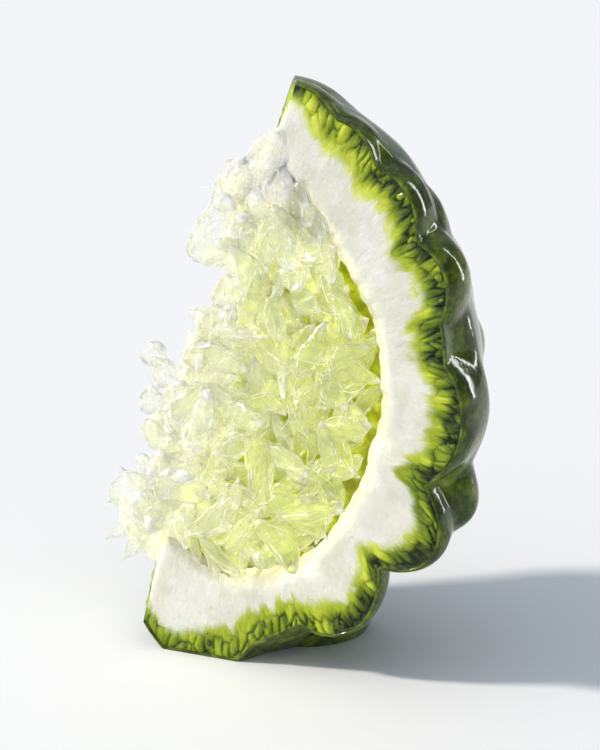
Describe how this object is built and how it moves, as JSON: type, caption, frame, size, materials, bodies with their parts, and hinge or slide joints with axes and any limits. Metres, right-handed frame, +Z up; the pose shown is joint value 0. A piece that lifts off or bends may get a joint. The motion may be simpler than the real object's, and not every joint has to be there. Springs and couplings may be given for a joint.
{
  "type": "bergamot orange wedge",
  "caption": "Wedge cut lengthwise from a warty green citrus fruit, standing on its heel with the juice sacs of one cut face showing.",
  "frame": {"origin": "middle of the wedge's box, on the surface it stands on", "axes": "+Z up; the front cut face looks along -Y; +X to the right of that face, the way the fruit's core leans"},
  "size_m": [0.0482, 0.0343, 0.0709],
  "materials": {
    "rind": "glossy wet dark green citrus skin, warty, with fine oil pores",
    "oil_glands": "cut band of upright oil glands, lime green between dark green walls",
    "pith": "matt white spongy pith",
    "pulp": "saturated yellow-green flesh behind the juice sacs",
    "juice_sacs": "wet translucent pale green sacs with whitish skins"
  },
  "bodies": {
    "root": {"bergamot_wedge": "rind"}
  },
  "joints": []
}
